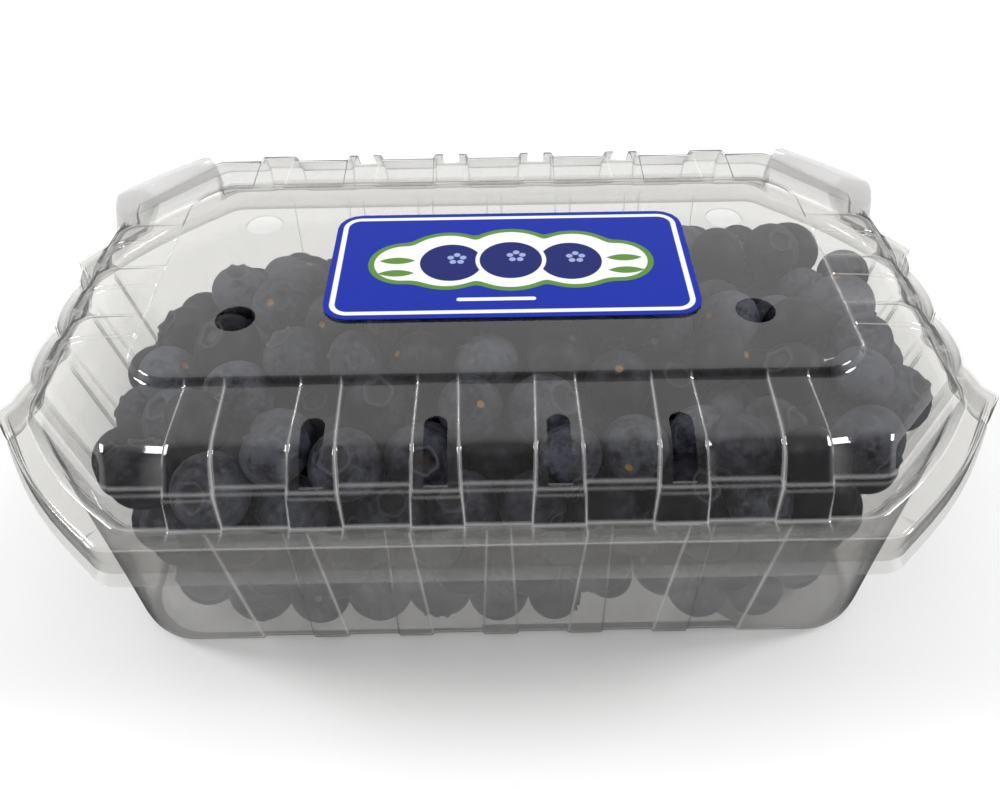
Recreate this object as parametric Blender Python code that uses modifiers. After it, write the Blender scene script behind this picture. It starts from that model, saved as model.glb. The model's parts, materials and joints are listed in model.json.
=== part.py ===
"""A clear hinged punnet of blueberries: tray, lid, folded hinge bead, lid label and the heap of fruit.

The pack is thermoformed from thin clear sheet. Lid and tray are open surfaces lofted through level
outlines, the way a mould is cut, and thickened into sheet. All levels are given from the rim plane,
where the lid's flange lies on the tray's, and the whole pack stands on z = 0.
X runs along the pack, -Y is the front, and the hinge is along the rear edge.
"""

import math

import bmesh
import bpy

# ---- Driving dimensions, in metres ----
RIM_Z = 0.0460  # rim plane above the surface the pack stands on
LID_RISE = 0.0144  # lid's top panel above the rim plane
SHEET = 0.0005  # thickness of the formed sheet
GAP = 0.0003  # air left between pieces that touch

LID_RIBS = 6  # ribs along each long side
LID_RIB_PITCH = 0.0202
TRAY_RIB_PITCH = 0.0173
END_RIBS = 3  # ribs across each short end
END_RIB_PITCH = 0.0156
RIB_FLANK = 0.0008  # plan width of a rib's sloping side
END_RIB_SHARE = 0.9  # width of an end rib, as a share of a side rib's on the same level
PLAIN_WIDTH = 0.0080  # spacing that stands for the rib's width on the flange, which has no ribs

FLANGE_X = 0.0945  # half-length over the flange, at its corners
FLANGE_Y = 0.0582  # half-width over the flange
FLANGE_CORNER = 0.0250  # y of the flange's corners
FLANGE_SLOPE = 0.828  # x over y of its cut corners
FLANGE_FILLETS = (0.0060, 0.0020)  # rounding of a cut corner at the long side and at the end
FLANGE_BOW = 0.0018  # how far the cut corners bulge: on the flange
LID_BOW = 0.0016  # at the foot of the lid's wall
TRAY_BOW = 0.0014  # and at the head of the tray's
NOTCH_IN = 0.0030  # depth of the notches in the end flange, in from its corners
LOBE_IN = 0.0013  # how far in the lobes between the notches stay
LOBE_PLACES = (-0.0052, -0.0008, 0.0008, 0.0052)  # where each lobe's outline has points, along the end
NOTCH_STOP = 0.0040  # the corner itself, this long, has no notch
SNAP_OUT = 0.0007  # how far the front snap corners stand out past the others
SNAP_SPREAD = 0.0020  # how quickly that fades along the edge
LID_SKIRT = 0.0059  # depth of the lid's skirt
SKIRT_FADE = (0.0300, 0.0440)  # behind this stretch of y the lid's skirt is only a lip
LIP = 0.0009  # what is left of the lid's skirt along the hinge
LID_HEM_OUT = 0.0002  # the skirt leans out by this much

LUG_RISE = 0.0108  # the two stacking lugs on the rear corners, above the rim plane
LUG_SPAN = (0.01, 0.06, 0.67, 0.75)  # feet and shoulders of a lug along the corner, as shares of it
LUG_LEAN = 0.0024  # how far a lug narrows towards the rear

VENT_X = 0.0483  # four round vents in the lid's top panel
VENT_Y = 0.0159
VENT_RADIUS = 0.0037
VENT_SIDES = 20
VENT_CUT = 0.0060  # depth of the vents' cutters
SLOT_WIDTH = 0.0039  # slots through the middle ribs, over the lid's shoulder
SLOT_IN = 0.0415  # y of a slot's round inner end
SLOT_OUT = 0.0560
SLOT_FLOOR = 0.0079  # lowest level a slot reaches, above the rim plane
SLOT_CUT = 0.0100  # height of the slots' cutters
SLOT_STEPS = 6  # facets of a slot's round end

LABEL_SIZE = (0.0712, 0.0352)
LABEL_CENTRE = (0.0032, 0.0003)
LABEL_CORNER = 0.0048
LABEL_THICKNESS = 0.0002
LABEL_STEPS = 4  # facets of each rounded corner

HINGE_Y = 0.0589  # axis of the fold between lid and tray
HINGE_RADIUS = 0.0006
HINGE_HALF_LENGTH = 0.0560
HINGE_SIDES = 12
REAR_EDGE = HINGE_Y - HINGE_RADIUS - GAP  # the lid's flange stops here

BERRY = 0.0132  # middling diameter of a berry
BERRY_ROW = BERRY * 0.866  # between the rows of a triangular grid of berries
BERRY_SHIFT = 0.18 * BERRY  # how far a berry strays from that grid in plan
BERRY_STRAY = 0.22 * BERRY  # and in height
BERRY_FIELD = (0.180, 0.110)  # the grid covers this much
BERRY_STAND = 0.0015  # the crown of no berry stands further than this out of the heap
HEAP_TOP = 0.0080  # crown of the heap above the rim plane
HEAP_FALLS = (  # how much lower the fruit lies towards the rear, left end, right end and front wall
    ((0.0, 1.0), 0.0250, 0.0000, 0.0520),
    ((-1.0, 0.0), 0.0220, 0.0580, 0.0880),
    ((1.0, 0.0), 0.0140, 0.0680, 0.0940),
    ((0.0, -1.0), 0.0030, 0.0430, 0.0500),
)
HEAP_LOWEST = -0.0225  # the fruit lies no lower than this below the rim plane
HEAP_WALLS = (  # the heap's outlines inside the tray: level, half-length, half-width and squareness
    (SHEET + GAP - RIM_Z, 0.0700, 0.0405, 3.30),
    (-0.0425, 0.0738, 0.0438, 3.17),
    (-0.0300, 0.0772, 0.0464, 3.08),
)
HEAP_BRIM = (0.0806, 0.0487, 3.15)  # the same for the edge of its top, whose level follows the falls
HEAP_EYE = 0.04  # the innermost ring of the top, as a share of that edge
HEAP_CROWDING = 0.9  # below 1 the rings of the top lie closer together towards its edge
HEAP_STEPS = 10  # rings of the heap's top surface
HEAP_SIDES = 54

ARC_STEPS = 2  # facets in each of the two rounds of a corner


class Level:
    """One level outline of the mould.

    z is its height from the rim plane, x and y its half-length and half-width, and cut how much of each the
    corner takes off, with its fillets at the long side and at the end. rib is the width of its ribs and how
    far they stand out and up. bow is the bulge of the cut corners, lug the share of the lugs' rise that it
    takes and lean their lean. A notched level has the flange's end notches, and snap is how far its front
    corners stand out.
    """

    def __init__(
        self, z, x, y, cut, fillets, rib=(0.0, 0.0, 0.0), bow=0.0, lug=0.0, notched=False, snap=0.0, lean=0.0
    ):
        self.z = z
        self.x = x
        self.y = y
        self.cut = cut
        self.fillets = fillets
        self.rib_width, self.rib_out, self.rib_up = rib
        self.bow = bow
        self.lug = lug
        self.notched = notched
        self.snap = snap
        self.lean = lean


def flange(z, outward, **more):
    """A level of a flange or its skirt, this far outside the lid's own."""
    depth = FLANGE_Y + outward - FLANGE_CORNER
    cut = (depth * FLANGE_SLOPE, depth)
    half_x, half_y = FLANGE_X + outward, FLANGE_Y + outward
    return Level(z, half_x, half_y, cut, FLANGE_FILLETS, bow=FLANGE_BOW, notched=True, **more)


def rounded(radius):
    """Corner cut and fillets that together come near a quarter circle."""
    cut = radius * (2.0 - math.sqrt(2.0))
    return (cut, cut), (radius * 0.8, radius * 0.8)


# Lid, from the top panel's edge outwards and down to the flange's edge: its upper face.
PANEL_CORNER = 0.0085
LID_LEVELS = [
    Level(LID_RISE, 0.0652, 0.0321, *rounded(PANEL_CORNER), rib=(0.0062, 0.0, 0.0)),
    Level(0.0130, 0.0662, 0.0332, *rounded(PANEL_CORNER + 0.0010), rib=(0.0062, 0.0, 0.0003)),
    Level(0.0124, 0.0770, 0.0458, (0.0125, 0.0155), (0.0020, 0.0020), rib=(0.0068, 0.0, 0.0009)),
    Level(0.0112, 0.0797, 0.0486, (0.0152, 0.0180), (0.0025, 0.0025), rib=(0.0070, 0.0010, 0.0006)),
    Level(0.0074, 0.0826, 0.0513, (0.0180, 0.0200), (0.0040, 0.0040), rib=(0.0073, 0.0016, 0.0)),
    Level(0.0068, 0.0840, 0.0524, (0.0190, 0.0210), (0.0060, 0.0060), rib=(0.0076, 0.0013, 0.0)),
    Level(0.0, 0.0880, 0.0539, (0.0240, 0.0260), (0.0060, 0.0060), (0.0082, 0.0004, 0.0), LID_BOW, 1.0),
    flange(0.0, -0.0009, lug=1.0, lean=LUG_LEAN),
    flange(0.0, 0.0, snap=SNAP_OUT),
]

# Tray, from its floor's edge up to the flange and down again to its lip: its outer and lower face.
# Its ribs are pressed in, so they stand out by less than nothing.
FLANGE_UNDER = -2.0 * SHEET - GAP
TRAY_IN = 2.0 * SHEET + GAP  # the tray's flange lies this far inside the lid's
LIP_OUT = 0.0008  # and the hem of its skirt this far outside it
TRAY_LEVELS = [
    Level(-RIM_Z, 0.0735, 0.0445, *rounded(0.0128), rib=(0.0094, -0.0001, 0.0)),
    Level(-0.0453, 0.0752, 0.0460, *rounded(0.0141), rib=(0.0094, -0.0006, 0.0)),
    Level(-0.0436, 0.0761, 0.0467, *rounded(0.0149), rib=(0.0096, -0.0010, 0.0)),
    Level(-0.0042, 0.0864, 0.0530, (0.0235, 0.0255), (0.0140, 0.0100), (0.0124, -0.0010, 0.0), TRAY_BOW),
    Level(FLANGE_UNDER, 0.0868, 0.0531, (0.0238, 0.0258), (0.0140, 0.0100), (0.0126, 0.0, 0.0), TRAY_BOW),
    flange(FLANGE_UNDER, -TRAY_IN),
    flange(-0.0062, -TRAY_IN),
    flange(-0.0085, LIP_OUT),
]

PLASTIC = (0.86, 0.88, 0.87, 1.0)
BERRY_BLUE = (0.040, 0.045, 0.085, 1.0)
LABEL_BLUE = (0.020, 0.050, 0.440, 1.0)


def smooth_step(value, low, high):
    share = min(max((value - low) / (high - low), 0.0), 1.0)
    return share * share * (3.0 - 2.0 * share)


def arc(corner, before, after, radius):
    """Points of a fillet at a corner, from the tangent point before it to the one after it."""
    turn = math.acos(min(max(before[0] * after[0] + before[1] * after[1], -1.0), 1.0))
    reach = radius * math.tan(turn / 2.0)
    start = (corner[0] - before[0] * reach, corner[1] - before[1] * reach)
    normal = (before[1], -before[0])  # towards the centre of a clockwise turn
    centre = (start[0] + normal[0] * radius, start[1] + normal[1] * radius)
    points = []
    for step in range(ARC_STEPS + 1):
        angle = -turn * step / ARC_STEPS
        arm = (-normal[0] * radius, -normal[1] * radius)
        x = arm[0] * math.cos(angle) - arm[1] * math.sin(angle)
        y = arm[0] * math.sin(angle) + arm[1] * math.cos(angle)
        points.append((centre[0] + x, centre[1] + y))
    return points


def corner(level):
    """The (+x, +y) corner from the long side to the end, as (x, y, share of lug)."""
    cut_x, cut_y = level.cut
    length = math.hypot(cut_x, cut_y)
    along = (cut_x / length, -cut_y / length)
    first = arc((level.x - cut_x, level.y), (1.0, 0.0), along, level.fillets[0])
    last = arc((level.x, level.y - cut_y), along, (0.0, -1.0), level.fillets[1])
    start, end = first[-1], last[0]
    points = [(x, y, 0.0) for x, y in first]
    for index, share in enumerate(LUG_SPAN):
        bulge = level.bow * math.sin(math.pi * share) - level.lean * (1.0 - share)
        x = start[0] + (end[0] - start[0]) * share - along[1] * bulge
        y = start[1] + (end[1] - start[1]) * share + along[0] * bulge
        points.append((x, y, 1.0 if index in (1, 2) else 0.0))
    points += [(x, y, 0.0) for x, y in last]
    return points


def rib_stations(count, pitch, width):
    """Places along a side where its ribs start, crown and end, as (place, share of rib height)."""
    stations = []
    for index in range(count):
        centre = (index - (count - 1) / 2.0) * pitch
        stations.append((centre - width / 2.0 - RIB_FLANK, 0.0))
        stations.append((centre - width / 2.0, 1.0))
        stations.append((centre + width / 2.0, 1.0))
        stations.append((centre + width / 2.0 + RIB_FLANK, 0.0))
    return stations


def end_stations(level):
    """Places along a short end: its ribs, or the notches of the flange."""
    if level.notched:
        centres = [(index - (END_RIBS - 1) / 2.0) * END_RIB_PITCH for index in range(END_RIBS)]
        return [(centre + place, 0.0) for centre in centres for place in LOBE_PLACES]
    width = level.rib_width * END_RIB_SHARE
    room = level.y - level.cut[1] - level.fillets[1] * 0.5
    scale = min(1.0, room / (END_RIB_PITCH + width / 2.0 + RIB_FLANK))
    return [(place * scale, share) for place, share in rib_stations(END_RIBS, END_RIB_PITCH, width)]


def notch(y):
    """How far in from its corners the end flange lies at y: notches with round lobes between."""
    lobe = math.sqrt(abs(math.sin(math.pi * y / END_RIB_PITCH)))
    return NOTCH_IN + (LOBE_IN - NOTCH_IN) * lobe


def outline(level, long_pitch):
    """One closed ring of points, counter-clockwise from above, for a level."""
    long_side = rib_stations(LID_RIBS, long_pitch, level.rib_width or PLAIN_WIDTH)
    ends = end_stations(level)
    turn = corner(level)
    ring = [(x, -level.y - share * level.rib_out, share, 0.0) for x, share in long_side]
    ring += [(x, -y, 0.0, 0.0) for x, y, lug in turn]
    ring += [(level.x + share * level.rib_out, y, share, 0.0) for y, share in ends]
    ring += [(x, y, 0.0, lug) for x, y, lug in reversed(turn)]
    ring += [(x, level.y + share * level.rib_out, share, 0.0) for x, share in reversed(long_side)]
    ring += [(-x, y, 0.0, lug) for x, y, lug in turn]
    ring += [(-level.x - share * level.rib_out, y, share, 0.0) for y, share in reversed(ends)]
    ring += [(-x, -y, 0.0, 0.0) for x, y, lug in reversed(turn)]
    reach = level.y - level.cut[1]
    points = []
    for x, y, share, lug in ring:
        if level.notched and abs(y) < reach - NOTCH_STOP:
            x -= math.copysign(notch(y), x)
        elif level.snap and y < 0.0:
            x += math.copysign(level.snap * math.exp(-(((abs(y) - reach) / SNAP_SPREAD) ** 2)), x)
        z = level.z + share * level.rib_up + level.lug * lug * (LUG_RISE - level.z)
        points.append((x, y, z + RIM_Z))
    return points


def loft(name, rings, close_first):
    """An open surface through rings of equal length, with the first ring closed by a flat face."""
    mesh = bpy.data.meshes.new(name)
    bm = bmesh.new()
    rows = [[bm.verts.new(point) for point in ring] for ring in rings]
    for upper, lower in zip(rows, rows[1:]):
        for index in range(len(upper)):
            after = (index + 1) % len(upper)
            bm.faces.new((upper[index], lower[index], lower[after], upper[after]))
    if close_first:
        bm.faces.new(rows[0])
    bm.to_mesh(mesh)
    bm.free()
    return mesh


def place(mesh, name, colour, roughness, collection, transmission=0.0):
    obj = bpy.data.objects.new(name, mesh)
    collection.objects.link(obj)
    material = bpy.data.materials.new(name + "_finish")
    material.use_nodes = True
    shader = material.node_tree.nodes["Principled BSDF"]
    shader.inputs["Base Color"].default_value = colour
    shader.inputs["Roughness"].default_value = roughness
    shader.inputs["Transmission Weight"].default_value = transmission
    mesh.materials.append(material)
    return obj


def thicken(obj, sharp_folds):
    """Gives an open surface the thickness of the sheet, on the inside of its faces."""
    shell = obj.modifiers.new("sheet", "SOLIDIFY")
    shell.thickness = SHEET
    shell.offset = -1.0
    shell.use_even_offset = True
    if sharp_folds:
        shell.solidify_mode = "NON_MANIFOLD"
        shell.nonmanifold_thickness_mode = "CONSTRAINTS"


def lid_rings():
    """The lid's level outlines and the hem of its skirt, all kept clear of the hinge."""
    rings = [outline(level, LID_RIB_PITCH) for level in LID_LEVELS]
    hem = []
    for x, y, z in rings[-1]:
        depth = LIP + (LID_SKIRT - LIP) * (1.0 - smooth_step(y, *SKIRT_FADE))
        reach = 1.0 + LID_HEM_OUT / math.hypot(x, y)
        hem.append((x * reach, y * reach, RIM_Z - depth))
    rings.append(hem)
    return [[(x, min(y, REAR_EDGE), z) for x, y, z in ring] for ring in rings]


def make_lid(collection, cutters):
    lid = place(loft("lid", lid_rings(), True), "lid", PLASTIC, 0.05, collection, 1.0)
    thicken(lid, sharp_folds=True)
    for cutter in cutters:
        cut = lid.modifiers.new("vent", "BOOLEAN")
        cut.operation = "DIFFERENCE"
        cut.solver = "EXACT"
        cut.object = cutter
    return lid


def make_tray(collection):
    rings = [outline(level, TRAY_RIB_PITCH) for level in TRAY_LEVELS]
    mesh = loft("tray", rings, True)
    mesh.flip_normals()
    tray = place(mesh, "tray", PLASTIC, 0.05, collection, 1.0)
    thicken(tray, sharp_folds=False)
    return tray


def prism(name, points, low, high, collection):
    """A cutter: a flat outline drawn up from one level to another."""
    bm = bmesh.new()
    lower = [bm.verts.new((x, y, low)) for x, y in points]
    upper = [bm.verts.new((x, y, high)) for x, y in points]
    bm.faces.new(list(reversed(lower)))
    bm.faces.new(upper)
    for index in range(len(points)):
        after = (index + 1) % len(points)
        bm.faces.new((lower[index], lower[after], upper[after], upper[index]))
    mesh = bpy.data.meshes.new(name)
    bm.to_mesh(mesh)
    bm.free()
    obj = bpy.data.objects.new(name, mesh)
    collection.objects.link(obj)
    obj.hide_render = True
    obj.display_type = "WIRE"
    return obj


def vent_cutters(collection):
    cutters = []
    top = RIM_Z + LID_RISE + VENT_CUT / 3.0
    for side_x in (-1, 1):
        for side_y in (-1, 1):
            ring = []
            for step in range(VENT_SIDES):
                angle = 2.0 * math.pi * step / VENT_SIDES
                x = side_x * VENT_X + VENT_RADIUS * math.cos(angle)
                ring.append((x, side_y * VENT_Y + VENT_RADIUS * math.sin(angle)))
            cutters.append(prism("cut_vent", ring, top - VENT_CUT, top, collection))
    return cutters


def slot_cutters(collection):
    """Slots over the shoulder, through the middle ribs of both long sides."""
    cutters = []
    radius = SLOT_WIDTH / 2.0
    for index in range(1, LID_RIBS - 1):
        centre = (index - (LID_RIBS - 1) / 2.0) * LID_RIB_PITCH
        for side in (-1, 1):
            ring = [(centre + radius, side * SLOT_OUT)]
            for step in range(SLOT_STEPS + 1):
                angle = math.pi * step / SLOT_STEPS
                y = side * (SLOT_IN + radius - radius * math.sin(angle))
                ring.append((centre + radius * math.cos(angle), y))
            ring.append((centre - radius, side * SLOT_OUT))
            if side > 0:
                ring.reverse()
            floor = RIM_Z + SLOT_FLOOR
            cutters.append(prism("cut_slot", ring, floor, floor + SLOT_CUT, collection))
    return cutters


def make_label(collection):
    """A paper label on the lid's top panel."""
    half_x, half_y = LABEL_SIZE[0] / 2.0, LABEL_SIZE[1] / 2.0
    points = []
    for quarter, (side_x, side_y) in enumerate(((1, 1), (-1, 1), (-1, -1), (1, -1))):
        for step in range(LABEL_STEPS + 1):
            angle = math.pi / 2.0 * (quarter + step / LABEL_STEPS)
            x = side_x * (half_x - LABEL_CORNER) + LABEL_CORNER * math.cos(angle)
            y = side_y * (half_y - LABEL_CORNER) + LABEL_CORNER * math.sin(angle)
            points.append((x, y))
    curve = bpy.data.curves.new("label_outline", "CURVE")
    curve.dimensions = "2D"
    curve.fill_mode = "BOTH"
    curve.extrude = LABEL_THICKNESS / 2.0
    spline = curve.splines.new("POLY")
    spline.points.add(len(points) - 1)
    for point, (x, y) in zip(spline.points, points):
        point.co = (x, y, 0.0, 1.0)
    spline.use_cyclic_u = True
    sketch = bpy.data.objects.new("label_sketch", curve)
    collection.objects.link(sketch)
    z = RIM_Z + LID_RISE + GAP + LABEL_THICKNESS / 2.0
    sketch.location = (LABEL_CENTRE[0], LABEL_CENTRE[1], z)
    bpy.context.view_layer.update()
    mesh = bpy.data.meshes.new_from_object(sketch.evaluated_get(bpy.context.evaluated_depsgraph_get()))
    bm = bmesh.new()
    bm.from_mesh(mesh)
    bmesh.ops.remove_doubles(bm, verts=bm.verts, dist=0.00001)
    bm.to_mesh(mesh)
    bm.free()
    mesh.materials.clear()
    label = place(mesh, "label", LABEL_BLUE, 0.35, collection)
    label.matrix_world = sketch.matrix_world
    bpy.data.objects.remove(sketch)
    return label


def make_hinge(collection):
    """The folded bead of sheet that joins lid and tray along the rear edge."""
    bpy.ops.mesh.primitive_cylinder_add(
        vertices=HINGE_SIDES,
        radius=HINGE_RADIUS,
        depth=2.0 * HINGE_HALF_LENGTH,
        location=(0.0, HINGE_Y, RIM_Z - (SHEET + GAP) + GAP / 2.0),
        rotation=(0.0, math.pi / 2.0, 0.0),
    )
    made = bpy.context.active_object
    mesh = made.data
    matrix = made.matrix_world.copy()
    bpy.data.objects.remove(made)
    hinge = place(mesh, "hinge_fold", PLASTIC, 0.05, collection, 1.0)
    hinge.matrix_world = matrix
    return hinge


def berry_spots():
    """Plan centres and rises of the berries that shape the heap's top, on a shaken triangular grid."""
    spots = []
    rows = int(BERRY_FIELD[1] / BERRY_ROW) + 1
    columns = int(BERRY_FIELD[0] / BERRY) + 1
    for row in range(rows):
        for column in range(columns):
            shake = 12.9898 * row + 78.233 * column  # large odd steps, so that neighbours stray differently
            x = (column - (columns - 1) / 2.0 + 0.5 * (row % 2)) * BERRY + BERRY_SHIFT * math.sin(shake * 1.7)
            y = (row - (rows - 1) / 2.0) * BERRY_ROW + BERRY_SHIFT * math.sin(shake * 2.3 + 1.0)
            spots.append((x, y, BERRY_STRAY * math.sin(shake * 3.1 + 2.0)))
    return spots


def heap_height(x, y, spots):
    """Level of the heap's top at a place: a crown that falls to the rear and ends, with berries on it."""
    fall = 0.0
    for (way_x, way_y), drop, start, end in HEAP_FALLS:
        fall += drop * smooth_step(x * way_x + y * way_y, start, end)
    radius = BERRY / 2.0
    best = -radius
    for spot_x, spot_y, rise in spots:
        reach = radius * radius - (x - spot_x) ** 2 - (y - spot_y) ** 2
        if reach > 0.0:
            best = max(best, math.sqrt(reach) + rise)
    lump = min(best - radius, BERRY_STAND)
    return RIM_Z + max(HEAP_TOP - fall + lump, HEAP_LOWEST)


def heap_outline(half_x, half_y, squareness):
    """Plan points of a rounded rectangle, evenly spaced by angle."""
    points = []
    for step in range(HEAP_SIDES):
        angle = 2.0 * math.pi * (step + 0.5) / HEAP_SIDES
        cos, sin = math.cos(angle), math.sin(angle)
        x = math.copysign(abs(cos) ** (2.0 / squareness), cos) * half_x
        y = math.copysign(abs(sin) ** (2.0 / squareness), sin) * half_y
        points.append((x, y))
    return points


def make_heap(collection):
    """The whole heap of fruit as one solid, out to its lumpy top."""
    rings = []
    for z, *shape in HEAP_WALLS:
        rings.append([(x, y, RIM_Z + z) for x, y in heap_outline(*shape)])
    spots = berry_spots()
    for step in range(HEAP_STEPS):
        share = 1.0 - (1.0 - HEAP_EYE) * (step / (HEAP_STEPS - 1)) ** HEAP_CROWDING
        plan = [(x * share, y * share) for x, y in heap_outline(*HEAP_BRIM)]
        rings.append([(x, y, heap_height(x, y, spots)) for x, y in plan])
    mesh = loft("berries", rings, True)
    bm = bmesh.new()
    bm.from_mesh(mesh)
    open_edges = [edge for edge in bm.edges if edge.is_boundary]
    bmesh.ops.holes_fill(bm, edges=open_edges, sides=HEAP_SIDES)
    bmesh.ops.recalc_face_normals(bm, faces=bm.faces)
    bm.to_mesh(mesh)
    bm.free()
    heap = place(mesh, "berries", BERRY_BLUE, 0.6, collection)
    mesh.shade_smooth()
    return heap


def make_collection(name):
    collection = bpy.data.collections.new(name)
    bpy.context.scene.collection.children.link(collection)
    return collection


def main():
    for obj in list(bpy.data.objects):
        bpy.data.objects.remove(obj)
    parts = make_collection("punnet_of_blueberries")
    cutters = make_collection("cutters")
    make_tray(parts)
    make_lid(parts, vent_cutters(cutters) + slot_cutters(cutters))
    make_hinge(parts)
    make_label(parts)
    make_heap(parts)


main()
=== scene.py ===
"""Looks for the hinged punnet of blueberries: clear formed lid and tray, printed label and loose fruit.

Sizes are in metres. Levels are given from the rim plane, where the lid's flange lies on the tray's.
"""
import json
import math

import bmesh
import bpy
import numpy as np
from mathutils import Matrix, Vector

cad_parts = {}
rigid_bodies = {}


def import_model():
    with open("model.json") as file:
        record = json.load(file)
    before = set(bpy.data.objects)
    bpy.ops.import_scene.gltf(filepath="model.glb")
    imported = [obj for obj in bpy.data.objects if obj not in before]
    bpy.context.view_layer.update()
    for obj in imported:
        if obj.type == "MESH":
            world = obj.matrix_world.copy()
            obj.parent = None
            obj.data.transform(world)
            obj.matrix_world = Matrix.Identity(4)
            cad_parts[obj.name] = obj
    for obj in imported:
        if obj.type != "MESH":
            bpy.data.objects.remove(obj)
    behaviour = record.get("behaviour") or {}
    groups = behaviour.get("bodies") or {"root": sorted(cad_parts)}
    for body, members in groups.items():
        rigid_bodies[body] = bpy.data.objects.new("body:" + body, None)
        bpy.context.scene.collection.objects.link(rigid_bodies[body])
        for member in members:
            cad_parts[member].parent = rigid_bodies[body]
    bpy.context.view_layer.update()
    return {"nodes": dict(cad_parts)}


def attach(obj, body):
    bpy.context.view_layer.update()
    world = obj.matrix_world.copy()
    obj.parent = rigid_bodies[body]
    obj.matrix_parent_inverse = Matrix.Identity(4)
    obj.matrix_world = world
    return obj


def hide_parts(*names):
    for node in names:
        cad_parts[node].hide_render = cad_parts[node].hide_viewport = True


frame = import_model()

# ---- The formed sheet, as the solids have it ----
RIM_Z = 0.0460
LID_RISE = 0.0144
SHEET = 0.0004  # thickness of the finished sheet
CAD_SHEET = 0.0005
LID_PITCH = 0.0202
TRAY_PITCH = 0.0173
RIBS = 6
END_RIBS = 3
END_PITCH = 0.0156
RIB_FLANK = 0.0008
FLANGE_X = 0.0945
FLANGE_Y = 0.0582
FLANGE_CORNER = 0.0250
FLANGE_SLOPE = 0.828
REAR_EDGE = 0.0580
NOTCH_IN = 0.0030
LOBE_IN = 0.0013
SNAP_OUT = 0.0007
SKIRT = 0.0059
LIP = 0.0009
SKIRT_FADE = (0.0300, 0.0440)
LUG_RISE = 0.0108
LUG_SPAN = (0.015, 0.085, 0.665, 0.745)
LUG_LEAN = 0.0024
VENT_X, VENT_Y, VENT_RADIUS = 0.0483, 0.0159, 0.0037
SLOT_WIDTH, SLOT_IN, SLOT_OUT, SLOT_FLOOR = 0.0039, 0.0415, 0.0560, 0.0079
HINGE_Y, HINGE_Z, HINGE_RADIUS, HINGE_HALF = 0.0589, 0.04535, 0.0006, 0.0560

# ---- The fruit ----
BERRY = 0.0131  # middling width of a berry
HEAP_TOP = 0.0095
HEAP_FALLS = (  # way in plan, drop, and where along that way the drop starts and ends
    ((0.0, 1.0), 0.0250, 0.0000, 0.0520),
    ((-1.0, 0.0), 0.0250, 0.0540, 0.0840),
    ((1.0, 0.0), 0.0150, 0.0670, 0.0930),
    ((0.0, -1.0), 0.0030, 0.0430, 0.0500),
)
REAR_BULGE = (0.0110, 0.0180, 0.0420)  # right of the middle the heap reaches this much further back
HEAP_LOWEST = -0.0210


# ------------------------------------------------------------------ small helpers

def smooth_step(value, low, high):
    share = np.clip((value - low) / (high - low), 0.0, 1.0)
    return share * share * (3.0 - 2.0 * share)


def mesh_object(name, mesh):
    obj = bpy.data.objects.new(name, mesh)
    bpy.context.scene.collection.objects.link(obj)
    return obj


def finished(obj):
    """The object's mesh with its modifiers applied, and the modifiers gone."""
    bpy.context.view_layer.update()
    mesh = bpy.data.meshes.new_from_object(obj.evaluated_get(bpy.context.evaluated_depsgraph_get()))
    obj.modifiers.clear()
    obj.data = mesh
    return obj


def smooth(obj, angle=40.0):
    obj.data.shade_smooth()
    obj.data.set_sharp_from_angle(angle=math.radians(angle))


# ------------------------------------------------------------------ node helpers

def new_material(name):
    material = bpy.data.materials.new(name)
    material.use_nodes = True
    tree = material.node_tree
    tree.nodes.clear()
    output = tree.nodes.new("ShaderNodeOutputMaterial")
    return material, tree, output


def calc(tree, operation, a, b=None, c=None, clamp=False):
    """A Math node; inputs are numbers or sockets."""
    node = tree.nodes.new("ShaderNodeMath")
    node.operation = operation
    node.use_clamp = clamp
    for socket, value in zip(node.inputs, (a, b, c)):
        if value is None:
            continue
        if isinstance(value, (int, float)):
            socket.default_value = value
        else:
            tree.links.new(value, socket)
    return node.outputs[0]


def mix_colour(tree, factor, a, b, blend="MIX"):
    node = tree.nodes.new("ShaderNodeMix")
    node.data_type = "RGBA"
    node.blend_type = blend
    for socket, value in ((node.inputs[0], factor), (node.inputs[6], a), (node.inputs[7], b)):
        if isinstance(value, (int, float)):
            socket.default_value = value
        elif isinstance(value, tuple):
            socket.default_value = (*value, 1.0)
        else:
            tree.links.new(value, socket)
    return node.outputs[2]


def noise(tree, where, scale, detail=3.0, roughness=0.5):
    node = tree.nodes.new("ShaderNodeTexNoise")
    node.inputs["Scale"].default_value = scale
    node.inputs["Detail"].default_value = detail
    node.inputs["Roughness"].default_value = roughness
    tree.links.new(where, node.inputs["Vector"])
    return node.outputs["Fac"]


def ramp(tree, factor, low, high):
    node = tree.nodes.new("ShaderNodeMapRange")
    node.interpolation_type = "SMOOTHSTEP"
    node.inputs["From Min"].default_value = low
    node.inputs["From Max"].default_value = high
    tree.links.new(factor, node.inputs["Value"])
    return node.outputs["Result"]


def bump(tree, height, strength, distance):
    node = tree.nodes.new("ShaderNodeBump")
    node.inputs["Strength"].default_value = strength
    node.inputs["Distance"].default_value = distance
    tree.links.new(height, node.inputs["Height"])
    return node.outputs["Normal"]


def attribute(tree, name):
    node = tree.nodes.new("ShaderNodeAttribute")
    node.attribute_name = name
    return node


# ------------------------------------------------------------------ materials

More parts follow.
